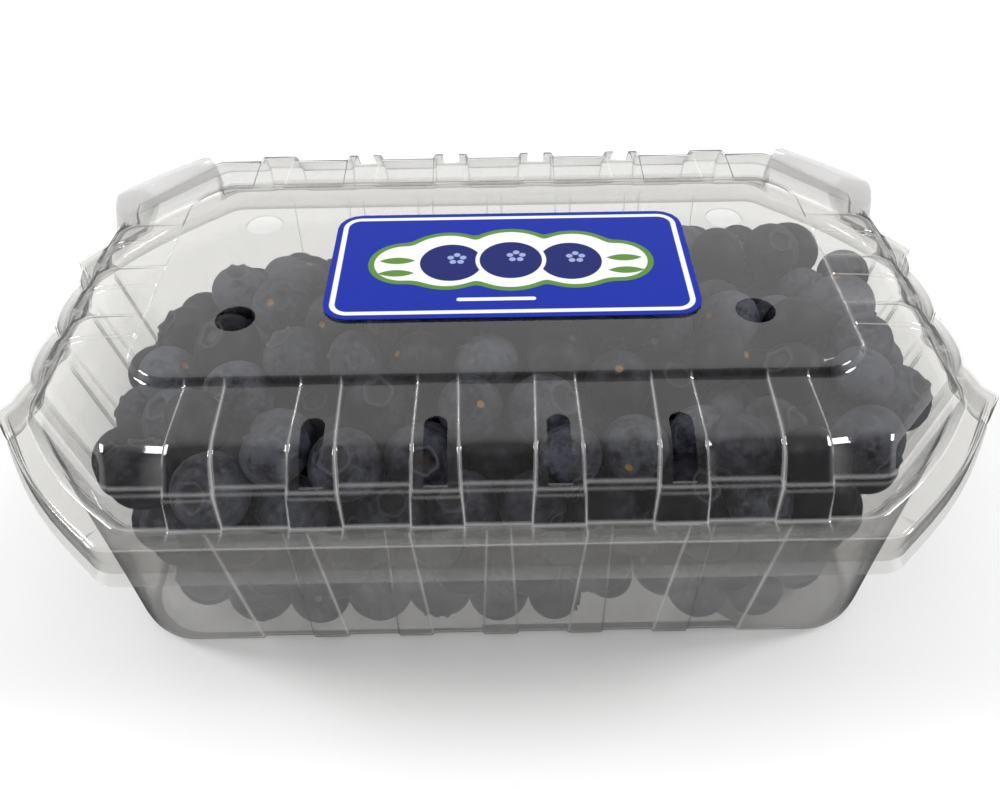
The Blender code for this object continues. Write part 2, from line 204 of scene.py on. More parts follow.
def clear_sheet(name, haze_and_reflection, glint_strength, wave):
    """Clear formed sheet: what isn't mirrored passes straight through. Only the face met first mirrors, for both.

    The sheet is whitened where the mesh says so: painted highlight lines along the rib flanks and the rounded level
    edges, and milk over the thick stacking lugs. A noisy white veil over it is partly haze in the plastic and partly
    painted reflection.
    """
    material, tree, output = new_material(name)
    where = tree.nodes.new("ShaderNodeTexCoord").outputs["Object"]
    ripple = noise(tree, where, 55.0, 2.0)
    skin = noise(tree, where, 420.0, 2.0)
    height = calc(tree, "ADD", ripple, calc(tree, "MULTIPLY", skin, 0.12))
    normal = bump(tree, height, wave, 0.0006)
    fresnel = tree.nodes.new("ShaderNodeFresnel")
    fresnel.inputs["IOR"].default_value = 1.57
    tree.links.new(normal, fresnel.inputs["Normal"])
    facing = calc(tree, "SUBTRACT", 1.0, tree.nodes.new("ShaderNodeNewGeometry").outputs["Backfacing"])
    mirrored = calc(tree, "MULTIPLY", calc(tree, "MULTIPLY", fresnel.outputs[0], 1.75), facing, clamp=True)
    through = tree.nodes.new("ShaderNodeBsdfTransparent")
    through.inputs["Color"].default_value = (0.940, 0.938, 0.930, 1.0)
    gloss = tree.nodes.new("ShaderNodeBsdfGlossy")
    gloss.inputs["Color"].default_value = (1.0, 1.0, 1.0, 1.0)
    gloss.inputs["Roughness"].default_value = 0.07
    tree.links.new(normal, gloss.inputs["Normal"])
    veil = tree.nodes.new("ShaderNodeBsdfDiffuse")
    veil.inputs["Color"].default_value = (0.95, 0.94, 0.94, 1.0)
    clear = tree.nodes.new("ShaderNodeMixShader")
    split = tree.nodes.new("ShaderNodeSeparateXYZ")
    tree.links.new(where, split.inputs[0])
    thin = calc(tree, "SUBTRACT", 1.0, calc(tree, "MULTIPLY", ramp(tree, split.outputs[2], 0.0360, 0.0400), 0.7))
    # partly haze in the plastic and partly painted reflection: a noisy white veil standing in for light mirrored
    # between the sheet's layers
    haze_and_painted_reflection = calc(tree, "MULTIPLY", calc(tree, "ADD", noise(tree, where, 90.0, 3.0, 0.6), 0.5), haze_and_reflection)
    haze_and_painted_reflection = calc(tree, "MULTIPLY", haze_and_painted_reflection, thin)
    # painted highlight: white lines along the rib flanks and rounded level edges, standing in for glints
    painted_highlight = calc(tree, "MULTIPLY", attribute(tree, "painted_glint").outputs["Fac"], glint_strength)
    white = calc(tree, "ADD", haze_and_painted_reflection, painted_highlight, clamp=True)
    tree.links.new(calc(tree, "MULTIPLY", white, facing), clear.inputs[0])
    tree.links.new(through.outputs[0], clear.inputs[1])
    tree.links.new(veil.outputs[0], clear.inputs[2])
    glow = tree.nodes.new("ShaderNodeBsdfTranslucent")
    glow.inputs["Color"].default_value = (0.97, 0.965, 0.97, 1.0)
    both_ways = tree.nodes.new("ShaderNodeMixShader")
    both_ways.inputs[0].default_value = 0.5
    tree.links.new(veil.outputs[0], both_ways.inputs[1])
    tree.links.new(glow.outputs[0], both_ways.inputs[2])
    milk = ramp(tree, attribute(tree, "milk").outputs["Fac"], 0.05, 0.60)
    body = tree.nodes.new("ShaderNodeMixShader")
    tree.links.new(calc(tree, "MULTIPLY", calc(tree, "MULTIPLY", milk, 0.93), facing), body.inputs[0])
    tree.links.new(clear.outputs[0], body.inputs[1])
    tree.links.new(both_ways.outputs[0], body.inputs[2])
    mix = tree.nodes.new("ShaderNodeMixShader")
    tree.links.new(mirrored, mix.inputs[0])
    tree.links.new(body.outputs[0], mix.inputs[1])
    tree.links.new(gloss.outputs[0], mix.inputs[2])
    tree.links.new(mix.outputs[0], output.inputs["Surface"])
    return material


def berry_skin():
    """Near-black blue skin under a pale wax that is rubbed off in places; dusty crown, brown stem scar."""
    material, tree, output = new_material("berry_skin")
    shade = attribute(tree, "shade").outputs["Fac"]
    pole = attribute(tree, "pole").outputs["Fac"]
    own = attribute(tree, "own").outputs["Vector"]
    spread = noise(tree, own, 1.6, 3.0, 0.6)
    rubbed = noise(tree, own, 5.0, 6.0, 0.7)
    grain = noise(tree, own, 34.0, 3.0, 0.6)
    wax = calc(tree, "ADD", calc(tree, "MULTIPLY", spread, 0.65), calc(tree, "MULTIPLY", rubbed, 0.35))
    wax = ramp(tree, calc(tree, "ADD", wax, calc(tree, "MULTIPLY", calc(tree, "SUBTRACT", shade, 0.5), 0.22)), 0.36, 0.66)
    skin = mix_colour(tree, shade, (0.0035, 0.0035, 0.0060), (0.0070, 0.0065, 0.0110))
    bloom = mix_colour(tree, shade, (0.026, 0.028, 0.042), (0.118, 0.124, 0.158))
    colour = mix_colour(tree, calc(tree, "MULTIPLY", wax, 0.70), skin, bloom)
    worn = calc(tree, "MULTIPLY", ramp(tree, rubbed, 0.54, 0.66), ramp(tree, shade, 0.35, 0.9))
    colour = mix_colour(tree, calc(tree, "MULTIPLY", worn, 0.35), colour, (0.150, 0.155, 0.185))
    colour = mix_colour(tree, calc(tree, "MULTIPLY", ramp(tree, grain, 0.55, 0.75), 0.10), colour, (0.12, 0.125, 0.15))
    crown = calc(tree, "MULTIPLY", ramp(tree, pole, 1.0, 1.10), calc(tree, "SUBTRACT", 1.0, ramp(tree, pole, 1.34, 1.48)))
    colour = mix_colour(tree, calc(tree, "MULTIPLY", crown, 0.32), colour, (0.125, 0.127, 0.145))
    colour = mix_colour(tree, ramp(tree, pole, 1.45, 1.80), colour, (0.030, 0.024, 0.022))
    scar = calc(tree, "SUBTRACT", 1.0, ramp(tree, pole, -1.30, -1.12))
    brown = mix_colour(tree, shade, (0.20, 0.125, 0.055), (0.34, 0.17, 0.06))
    colour = mix_colour(tree, scar, colour, brown)
    shader = tree.nodes.new("ShaderNodeBsdfPrincipled")
    tree.links.new(colour, shader.inputs["Base Color"])
    tree.links.new(calc(tree, "ADD", 0.38, calc(tree, "MULTIPLY", wax, 0.30)), shader.inputs["Roughness"])
    shader.inputs["Specular IOR Level"].default_value = 0.14
    tree.links.new(bump(tree, rubbed, 0.20, 0.0002), shader.inputs["Normal"])
    tree.links.new(shader.outputs[0], output.inputs["Surface"])
    return material


def core_skin():
    material, tree, output = new_material("heap_shade")
    where = tree.nodes.new("ShaderNodeTexCoord").outputs["Object"]
    shader = tree.nodes.new("ShaderNodeBsdfPrincipled")
    # painted shade: bare skin colour without the pale wax, so the heap's inside reads as shaded
    colour = mix_colour(tree, noise(tree, where, 90.0), (0.004, 0.004, 0.008), (0.011, 0.011, 0.020))
    tree.links.new(colour, shader.inputs["Base Color"])
    shader.inputs["Roughness"].default_value = 0.8
    tree.links.new(shader.outputs[0], output.inputs["Surface"])
    return material


def rounded_box(tree, x, y, half_x, half_y, radius):
    """Distance outside a rounded rectangle centred on x = y = 0, negative inside."""
    out_x = calc(tree, "SUBTRACT", calc(tree, "ABSOLUTE", x), half_x - radius)
    out_y = calc(tree, "SUBTRACT", calc(tree, "ABSOLUTE", y), half_y - radius)
    near_x, near_y = calc(tree, "MAXIMUM", out_x, 0.0), calc(tree, "MAXIMUM", out_y, 0.0)
    length = calc(tree, "SQRT", calc(tree, "ADD", calc(tree, "MULTIPLY", near_x, near_x), calc(tree, "MULTIPLY", near_y, near_y)))
    inner = calc(tree, "MINIMUM", calc(tree, "MAXIMUM", out_x, out_y), 0.0)
    return calc(tree, "SUBTRACT", calc(tree, "ADD", length, inner), radius)


def disc(tree, x, y, centre, radius):
    dx, dy = calc(tree, "SUBTRACT", x, centre[0]), calc(tree, "SUBTRACT", y, centre[1])
    length = calc(tree, "SQRT", calc(tree, "ADD", calc(tree, "MULTIPLY", dx, dx), calc(tree, "MULTIPLY", dy, dy)))
    return calc(tree, "SUBTRACT", length, radius)


def inside(tree, distance, by=0.0, soft=0.00009):
    """1 where the distance is less than minus by, with a thin soft edge."""
    node = tree.nodes.new("ShaderNodeMapRange")
    node.inputs["From Min"].default_value = -by + soft
    node.inputs["From Max"].default_value = -by - soft
    tree.links.new(distance, node.inputs["Value"])
    return node.outputs["Result"]


LABEL_WHITE = (0.80, 0.83, 0.86)
LABEL_GREEN = (0.10, 0.23, 0.035)
LABEL_FRUIT = (0.010, 0.016, 0.130)
LABEL_PALE = (0.30, 0.36, 0.62)


def label_print():
    """Blue label with a white line and a plain row of fruit shapes in white, green and blue; its back is bare."""
    material, tree, output = new_material("label_print")
    where = tree.nodes.new("ShaderNodeTexCoord")
    mapping = tree.nodes.new("ShaderNodeMapping")
    mapping.inputs["Location"].default_value = (-0.0032, -0.0003, 0.0)
    tree.links.new(where.outputs["Object"], mapping.inputs["Vector"])
    split = tree.nodes.new("ShaderNodeSeparateXYZ")
    tree.links.new(mapping.outputs[0], split.inputs[0])
    x, y = split.outputs[0], split.outputs[1]
    edge = rounded_box(tree, x, y, 0.0356, 0.0176, 0.0048)
    blue = mix_colour(tree, noise(tree, where.outputs["Object"], 700.0, 2.0), (0.004, 0.019, 0.300), (0.006, 0.024, 0.335))
    line = calc(tree, "MULTIPLY", inside(tree, edge, 0.0012), calc(tree, "SUBTRACT", 1.0, inside(tree, edge, 0.0022)))
    colour = mix_colour(tree, line, blue, LABEL_WHITE)
    band = rounded_box(tree, x, y, 0.0270, 0.0058, 0.0058)
    for centre, radius in (((-0.0125, 0.0008), 0.0086), ((0.0, 0.0010), 0.0094), ((0.0125, 0.0008), 0.0086)):
        band = calc(tree, "SMOOTH_MIN", band, disc(tree, x, y, centre, radius), 0.0020)
    colour = mix_colour(tree, inside(tree, band, -0.0012), colour, LABEL_GREEN)
    colour = mix_colour(tree, inside(tree, band), colour, LABEL_WHITE)
    for side in (-1.0, 1.0):
        for lift in (0.0, -0.0042):
            upper = disc(tree, x, y, (side * 0.0225, lift - 0.0045), 0.0064)
            lower = disc(tree, x, y, (side * 0.0225, lift + 0.0045 + 0.0016), 0.0064)
            colour = mix_colour(tree, inside(tree, calc(tree, "MAXIMUM", upper, lower)), colour, LABEL_GREEN)
    for centre in ((-0.0118, 0.0), (0.0118, 0.0), (0.0, 0.0006)):
        colour = mix_colour(tree, inside(tree, disc(tree, x, y, centre, 0.0070)), colour, LABEL_WHITE)
        colour = mix_colour(tree, inside(tree, disc(tree, x, y, centre, 0.0062)), colour, LABEL_FRUIT)
        for petal in range(5):
            angle = 2.0 * math.pi * petal / 5 + 0.3
            spot = (centre[0] + 0.0011 + 0.0013 * math.cos(angle), centre[1] + 0.0012 + 0.0013 * math.sin(angle))
            colour = mix_colour(tree, inside(tree, disc(tree, x, y, spot, 0.00065)), colour, LABEL_PALE)
    stroke = rounded_box(tree, calc(tree, "ADD", x, 0.0030), calc(tree, "ADD", y, 0.0121), 0.0075, 0.0005, 0.0005)
    colour = mix_colour(tree, inside(tree, stroke), colour, LABEL_WHITE)
    under = tree.nodes.new("ShaderNodeSeparateXYZ")
    tree.links.new(where.outputs["Normal"], under.inputs[0])
    colour = mix_colour(tree, calc(tree, "LESS_THAN", under.outputs[2], -0.3), colour, LABEL_WHITE)
    shader = tree.nodes.new("ShaderNodeBsdfPrincipled")
    tree.links.new(colour, shader.inputs["Base Color"])
    shader.inputs["Roughness"].default_value = 0.42
    shader.inputs["Specular IOR Level"].default_value = 0.16
    fibre = noise(tree, where.outputs["Object"], 900.0, 3.0)
    tree.links.new(bump(tree, fibre, 0.12, 0.0001), shader.inputs["Normal"])
    tree.links.new(shader.outputs[0], output.inputs["Surface"])
    return material


def floor_paint():
    material, tree, output = new_material("studio_floor")
    where = tree.nodes.new("ShaderNodeTexCoord").outputs["Object"]
    shader = tree.nodes.new("ShaderNodeBsdfPrincipled")
    colour = mix_colour(tree, noise(tree, where, 3.0), (0.90, 0.90, 0.90), (0.93, 0.93, 0.93))
    # painted shade: in reflections the floor is near-black, standing in for an unlit table in front of the pack
    mirrored = tree.nodes.new("ShaderNodeLightPath").outputs["Is Glossy Ray"]
    tree.links.new(mix_colour(tree, mirrored, colour, (0.10, 0.10, 0.10)), shader.inputs["Base Color"])
    shader.inputs["Roughness"].default_value = 0.9
    shader.inputs["Specular IOR Level"].default_value = 0.0
    tree.links.new(shader.outputs[0], output.inputs["Surface"])
    return material


# ------------------------------------------------------------------ level outlines of the formed sheet

class Level:
    """One level outline of the mould; the fields are the same as the solids'. soft is its edge rounding, line the
    strength of the painted highlight along that edge.
    """

    def __init__(self, z, x, y, cut, fillets, rib=(0.0, 0.0, 0.0), bow=0.0, lug=0.0, notched=False, snap=0.0, lean=0.0, soft=0.0008, line=0.0, milk=0.0):
        self.z, self.x, self.y, self.cut, self.fillets = z, x, y, cut, fillets
        self.rib_width, self.rib_out, self.rib_up = rib
        self.bow, self.lug, self.notched, self.snap, self.lean, self.soft = bow, lug, notched, snap, lean, soft
        self.line, self.milk = line, milk


def flange(z, outward, **more):
    depth = FLANGE_Y + outward - FLANGE_CORNER
    cut = (depth * FLANGE_SLOPE, depth)
    return Level(z, FLANGE_X + outward, FLANGE_Y + outward, cut, (0.0060, 0.0022), bow=0.0018, notched=True, **more)


def rounded(radius):
    cut = radius * (2.0 - math.sqrt(2.0))
    return (cut, cut), (radius * 0.9, radius * 0.9)


LID_LEVELS = [
    Level(LID_RISE, 0.0640, 0.0309, *rounded(0.0078)),
    Level(LID_RISE, 0.0652, 0.0321, *rounded(0.0085), rib=(0.0062, 0.0, 0.0), soft=0.0004),
    Level(0.0131, 0.0662, 0.0332, *rounded(0.0095), rib=(0.0062, 0.0, 0.0003), soft=0.0006),
    Level(0.0124, 0.0770, 0.0458, (0.0125, 0.0155), (0.0030, 0.0030), (0.0068, 0.0, 0.0009), soft=0.0016),
    Level(0.0112, 0.0797, 0.0486, (0.0152, 0.0180), (0.0030, 0.0030), (0.0070, 0.0010, 0.0006), soft=0.0011),
    Level(0.0074, 0.0826, 0.0513, (0.0180, 0.0200), (0.0040, 0.0040), (0.0073, 0.0016, 0.0), soft=0.0006, line=0.5),
    Level(0.0068, 0.0840, 0.0524, (0.0190, 0.0210), (0.0060, 0.0060), (0.0076, 0.0013, 0.0), soft=0.0006, line=0.3, milk=1.0),
    Level(0.0, 0.0880, 0.0539, (0.0240, 0.0260), (0.0060, 0.0060), (0.0082, 0.0004, 0.0), bow=0.0016, lug=1.0, soft=0.0007, line=0.9, milk=1.0),
    flange(0.0, -0.0009, lug=1.0, lean=LUG_LEAN, soft=0.0005, milk=0.9),
    flange(0.0, 0.0, snap=SNAP_OUT, soft=0.0005, line=0.7, milk=0.3),
]
FLANGE_UNDER = -2.0 * CAD_SHEET - 0.0003
TRAY_IN = 2.0 * CAD_SHEET + 0.0003
TRAY_LEVELS = [
    Level(-0.0460, 0.0721, 0.0431, *rounded(0.0119)),
    Level(-0.0460, 0.0735, 0.0445, *rounded(0.0128), rib=(0.0094, -0.0001, 0.0), soft=0.0008),
    Level(-0.0453, 0.0752, 0.0460, *rounded(0.0141), rib=(0.0094, -0.0006, 0.0), soft=0.0007),
    Level(-0.0436, 0.0761, 0.0467, *rounded(0.0149), rib=(0.0096, -0.0010, 0.0), soft=0.0010),
    Level(-0.0042, 0.0864, 0.0530, (0.0235, 0.0255), (0.0140, 0.0100), (0.0124, -0.0010, 0.0), bow=0.0014, soft=0.0010),
    Level(FLANGE_UNDER, 0.0868, 0.0531, (0.0238, 0.0258), (0.0140, 0.0100), (0.0126, 0.0, 0.0), bow=0.0014, soft=0.0008),
    flange(FLANGE_UNDER, -TRAY_IN, soft=0.0005),
    flange(-0.0062, -TRAY_IN, soft=0.0008),
    flange(-0.0085, 0.0008),
]
FLANK_STEPS = ((1.0, 0.0), (0.72, 0.16), (0.5, 0.5), (0.28, 0.84), (0.0, 0.98))


def rib_places(count, pitch, width):
    """Places along a side through every rib, as (place, share of rib height)."""
    half = width / 2.0
    rise = [(-half - RIB_FLANK * away, share) for away, share in FLANK_STEPS]
    crown = [(-half / 2.0, 1.0), (0.0, 1.0), (half / 2.0, 1.0)]
    profile = rise + crown + [(-place, share) for place, share in reversed(rise)]
    places = []
    for index in range(count):
        centre = (index - (count - 1) / 2.0) * pitch
        places += [(centre + place, share) for place, share in profile]
        places.append((centre + pitch / 2.0, 0.0))
    return places[:-1]


def end_places(level):
    """Places along a short end: through the ribs, or evenly along the notches of the flange."""
    count = len(rib_places(END_RIBS, END_PITCH, 0.007))
    if level.notched:
        reach = FLANGE_CORNER - 0.0022
        return [(-reach + 2.0 * reach * step / (count - 1), 0.0) for step in range(count)]
    width = (level.rib_width or 0.0062) * 0.9
    room = level.y - level.cut[1] - level.fillets[1] * 0.5
    scale = min(1.0, room / (END_PITCH + width / 2.0 + RIB_FLANK))
    return [(place * scale, share) for place, share in rib_places(END_RIBS, END_PITCH, width)]


ARC_STEPS = 7
FACET_STEPS = (0.0, 0.015, 0.020, 0.032, 0.048, 0.066, 0.085, 0.2, 0.35, 0.5, 0.6, 0.665, 0.687, 0.708, 0.726, 0.739, 0.745, 0.83, 0.92, 1.0)


def arc(corner_point, before, after, radius):
    turn = math.acos(min(max(before[0] * after[0] + before[1] * after[1], -1.0), 1.0))
    reach = radius * math.tan(turn / 2.0)
    start = (corner_point[0] - before[0] * reach, corner_point[1] - before[1] * reach)
    normal = (before[1], -before[0])
    centre = (start[0] + normal[0] * radius, start[1] + normal[1] * radius)
    points = []
    for step in range(ARC_STEPS + 1):
        angle = -turn * step / ARC_STEPS
        arm = (-normal[0] * radius, -normal[1] * radius)
        x = arm[0] * math.cos(angle) - arm[1] * math.sin(angle)
        y = arm[0] * math.sin(angle) + arm[1] * math.cos(angle)
        points.append((centre[0] + x, centre[1] + y))
    return points


def lug_rise(share):
    """Share of the lug's height along the facet: steep sides with rounded shoulders."""
    first = np.clip((share - LUG_SPAN[0]) / (LUG_SPAN[1] - LUG_SPAN[0]), 0.0, 1.0)
    last = np.clip((LUG_SPAN[3] - share) / (LUG_SPAN[3] - LUG_SPAN[2]), 0.0, 1.0)
    return float(math.sqrt(1.0 - (1.0 - first) ** 2) * math.sqrt(1.0 - (1.0 - last) ** 2))


def corner(level):
    """The (+x, +y) corner from the long side to the end, as (x, y, share of lug height)."""
    cut_x, cut_y = level.cut
    length = math.hypot(cut_x, cut_y)
    along = (cut_x / length, -cut_y / length)
    first = arc((level.x - cut_x, level.y), (1.0, 0.0), along, level.fillets[0])
    last = arc((level.x, level.y - cut_y), along, (0.0, -1.0), level.fillets[1])
    start, end = first[-1], last[0]
    points = [(x, y, 0.0) for x, y in first[:-1]]
    for share in FACET_STEPS:
        bulge = level.bow * math.sin(math.pi * share)
        bulge -= level.lean * (1.0 - share) * float(smooth_step(share, 0.0, 0.010))
        x = start[0] + (end[0] - start[0]) * share - along[1] * bulge
        y = start[1] + (end[1] - start[1]) * share + along[0] * bulge
        points.append((x, y, lug_rise(share)))
    return points + [(x, y, 0.0) for x, y in last[1:]]


def notch(y):
    lobe = math.sqrt(abs(math.sin(math.pi * y / END_PITCH)))
    return NOTCH_IN + (LOBE_IN - NOTCH_IN) * lobe


def outline(level, pitch):
    """One closed ring of points, counter-clockwise from above, each with its painted highlight strength and milk."""
    long_side = rib_places(RIBS, pitch, level.rib_width or 0.0080)
    ends = end_places(level)
    turn = corner(level)
    ring = [(x, -level.y - share * level.rib_out, share, 0.0) for x, share in long_side]
    ring += [(x, -y, 0.0, 0.0) for x, y, lug in turn]
    ring += [(level.x + share * level.rib_out, y, share, 0.0) for y, share in ends]
    ring += [(x, y, 0.0, lug) for x, y, lug in reversed(turn)]
    ring += [(x, level.y + share * level.rib_out, share, 0.0) for x, share in reversed(long_side)]
    ring += [(-x, y, 0.0, lug) for x, y, lug in turn]
    ring += [(-level.x - share * level.rib_out, y, share, 0.0) for y, share in reversed(ends)]
    ring += [(-x, -y, 0.0, 0.0) for x, y, lug in reversed(turn)]
    reach = level.y - level.cut[1]
    points = []
    for x, y, share, lug in ring:
        if level.notched and abs(y) < reach:
            deep = notch(y) * (1.0 - smooth_step(abs(y), reach - 0.0034, reach - 0.0004))
            x -= math.copysign(float(deep), x)
        if level.snap and y < 0.0:
            x += math.copysign(level.snap * math.exp(-(((abs(y) - reach) / 0.0020) ** 2)), x)
        z = RIM_Z + level.z + share * level.rib_up + level.lug * lug * (LUG_RISE - level.z)
        # painted highlight: strongest at the middle of each rib flank
        painted_glint = (4.0 * share * (1.0 - share)) ** 2 if abs(level.rib_out) + level.rib_up > 0.0 else 0.0
        points.append((x, y, z, painted_glint, level.milk * lug))
    return np.array(points)


def soften(rings, softness, lines):
    """Rounds every level's edge: each inner ring becomes three, drawn apart along the profile."""
    rows = [rings[0]]
    for index in range(1, len(rings) - 1):
        here = rings[index]
        for other, keep in ((rings[index - 1], 0), (rings[index + 1], 1)):
            span = np.linalg.norm((other - here)[:, :3], axis=1, keepdims=True)
            step = np.minimum(softness[index], 0.45 * span) / np.maximum(span, 1e-9)
            point = here + (other - here) * step
            if keep == 0:
                before = point
            else:
                middle = 0.25 * before + 0.5 * here + 0.25 * point
                # painted highlight: the middle row of each rounded edge takes the level's line strength
                middle[:, 3] = np.maximum(middle[:, 3], lines[index])
                rows += [before, middle, point]
    rows.append(rings[-1])
    return rows


def loft(name, rows, close_first, flip=False):
    """An open sheet through rings of equal length, its first ring closed by a flat face."""
    count = len(rows[0])
    values = np.concatenate(rows)
    faces = []
    for row in range(len(rows) - 1):
        for index in range(count):
            after = (index + 1) % count
            a, b = row * count, (row + 1) * count
            faces.append((a + index, b + index, b + after, a + after))
    if close_first:
        faces.append(tuple(range(count)))
    if flip:
        faces = [tuple(reversed(face)) for face in faces]
    mesh = bpy.data.meshes.new(name)
    mesh.from_pydata(values[:, :3].tolist(), [], faces)
    for column, layer in enumerate(("painted_glint", "milk"), 3):
        mesh.attributes.new(layer, "FLOAT", "POINT").data.foreach_set("value", values[:, column])
    mesh.update()
    return mesh_object(name, mesh)


def thicken(obj):
    shell = obj.modifiers.new("sheet", "SOLIDIFY")
    shell.thickness = SHEET
    shell.offset = -1.0
    shell.use_even_offset = True
    shell.thickness_clamp = 0.0


# ------------------------------------------------------------------ lid

def prism(bm, ring, low, high):
    lower = [bm.verts.new((x, y, low)) for x, y in ring]
    upper = [bm.verts.new((x, y, high)) for x, y in ring]
    bm.faces.new(list(reversed(lower)))
    bm.faces.new(upper)
    for index in range(len(ring)):
        after = (index + 1) % len(ring)
        bm.faces.new((lower[index], lower[after], upper[after], upper[index]))


def opening_cutters():
    """All of the lid's vents and slots as one cutter."""
    bm = bmesh.new()
    top = RIM_Z + LID_RISE
    for side_x in (-1, 1):
        for side_y in (-1, 1):
            ring = []
            for step in range(40):
                angle = 2.0 * math.pi * step / 40
                ring.append((side_x * VENT_X + VENT_RADIUS * math.cos(angle), side_y * VENT_Y + VENT_RADIUS * math.sin(angle)))
            prism(bm, ring, top - 0.003, top + 0.003)
    radius = SLOT_WIDTH / 2.0
    for index in range(1, RIBS - 1):
        centre = (index - (RIBS - 1) / 2.0) * LID_PITCH
        for side in (-1, 1):
            ring = [(centre + radius, side * SLOT_OUT)]
            for step in range(13):
                angle = math.pi * step / 12.0
                ring.append((centre + radius * math.cos(angle), side * (SLOT_IN + radius - radius * math.sin(angle))))
            ring.append((centre - radius, side * SLOT_OUT))
            if side > 0:
                ring.reverse()
            prism(bm, ring, RIM_Z + SLOT_FLOOR, RIM_Z + SLOT_FLOOR + 0.010)
    mesh = bpy.data.meshes.new("opening_cutters")
    bm.to_mesh(mesh)
    bm.free()
    return mesh_object("opening_cutters", mesh)


def make_lid(sheet):
    rings = [outline(level, LID_PITCH) for level in LID_LEVELS]
    softness = [level.soft for level in LID_LEVELS]
    lines = [level.line for level in LID_LEVELS]
    edge = rings[-1]
    hem = edge.copy()
    hem[:, :2] *= 1.0 + 0.0002 / np.linalg.norm(edge[:, :2], axis=1, keepdims=True)
    hem[:, 2] = RIM_Z - (LIP + (SKIRT - LIP) * (1.0 - smooth_step(edge[:, 1], *SKIRT_FADE)))
    hem[:, 4] = 0.0
    rings.append(hem)
    for ring in rings:
        ring[:, 1] = np.minimum(ring[:, 1], REAR_EDGE)
    lid = loft("lid_sheet", soften(rings, softness, lines), True)
    thicken(lid)
    cutter = opening_cutters()
    cut = lid.modifiers.new("openings", "BOOLEAN")
    cut.operation = "DIFFERENCE"
    cut.solver = "EXACT"
    cut.object = cutter
    finished(lid)
    bpy.data.objects.remove(cutter)
    smooth(lid, 50.0)
    lid.data.materials.clear()
    lid.data.materials.append(sheet)
    return lid


def make_tray(sheet):
    rings = [outline(level, TRAY_PITCH) for level in TRAY_LEVELS]
    softness, lines = [level.soft for level in TRAY_LEVELS], [level.line for level in TRAY_LEVELS]
    tray = loft("tray_sheet", soften(rings, softness, lines), True, flip=True)
    thicken(tray)
    finished(tray)
    smooth(tray, 50.0)
    tray.data.materials.clear()
    tray.data.materials.append(sheet)
    return tray


# ------------------------------------------------------------------ fruit

def heap_top(x, y):
    """Level of the heap's top over a place, from the pack's floor plane."""
    fall = 0.0
    near_y = np.where(y > 0.0, y - REAR_BULGE[0] * smooth_step(x, *REAR_BULGE[1:]), y)
    for (way_x, way_y), drop, start, end in HEAP_FALLS:
        fall = fall + drop * smooth_step(x * way_x + near_y * way_y, start, end)
    return RIM_Z + np.maximum(HEAP_TOP - fall, HEAP_LOWEST)


WALLS = (  # outward directions in plan of the pack's walls, and how far out they stand at these levels
    ((1.0, 0.0), (0.0745, 0.0848, 0.0862, 0.0782)),
    ((0.0, 1.0), (0.0452, 0.0515, 0.0522, 0.0472)),
    ((0.7071, 0.7071), (0.0735, 0.0790, 0.0800, 0.0765)),
)
WALL_LEVELS = (0.0024, 0.0418, 0.0460, 0.0572)


def past_walls(points, radii):
    """How far each ball stands past each wall, with the walls' directions on its own side."""
    sides = np.where(points[:, :2] < 0.0, -1.0, 1.0)
    for way, reach in WALLS:
        towards = sides * np.array(way)
        past = (points[:, :2] * towards).sum(1) + radii - np.interp(points[:, 2], WALL_LEVELS, reach)
        yield towards, past


def settled_berries():
    """Centres and radii of the berries, pushed apart until they lie against each other and the walls."""
    random = np.random.RandomState(11)
    step = BERRY * 0.985
    centres = []
    for layer in range(6):
        for row in range(-6, 7):
            for column in range(-8, 9):
                x = (column + 0.5 * ((row + layer) % 2)) * step
                y = (row + 0.33 * (layer % 3)) * step * 0.866
                z = 0.0075 + layer * step * 0.82
                centres.append((x, y, z))
    centres = np.array(centres)
    centres += random.uniform(-0.0022, 0.0022, centres.shape)
    radii = BERRY / 2.0 * random.uniform(0.90, 1.12, len(centres))
    keep = centres[:, 2] < heap_top(centres[:, 0], centres[:, 1]) - radii + 0.002
    for towards, past in past_walls(centres, radii):
        keep &= past < 0.004
    centres, radii = centres[keep], radii[keep]
    for turn in range(220):
        gap = centres[:, None, :] - centres[None, :, :]
        apart = np.linalg.norm(gap, axis=2) + np.eye(len(centres))
        press = np.maximum(radii[:, None] + radii[None, :] - apart, 0.0) * (1.0 - np.eye(len(centres)))
        centres += 0.42 * (gap / apart[:, :, None] * press[:, :, None]).sum(1)
        if turn < 160:
            centres[:, 2] -= 0.00012
        for towards, past in past_walls(centres, radii):
            centres[:, :2] -= towards * np.maximum(past, 0.0)[:, None]
        centres[:, 2] = np.maximum(centres[:, 2], 0.0010 + radii)
        roof = heap_top(centres[:, 0], centres[:, 1]) + 0.0012 - radii
        centres[:, 2] = np.minimum(centres[:, 2], roof)
    return centres, radii


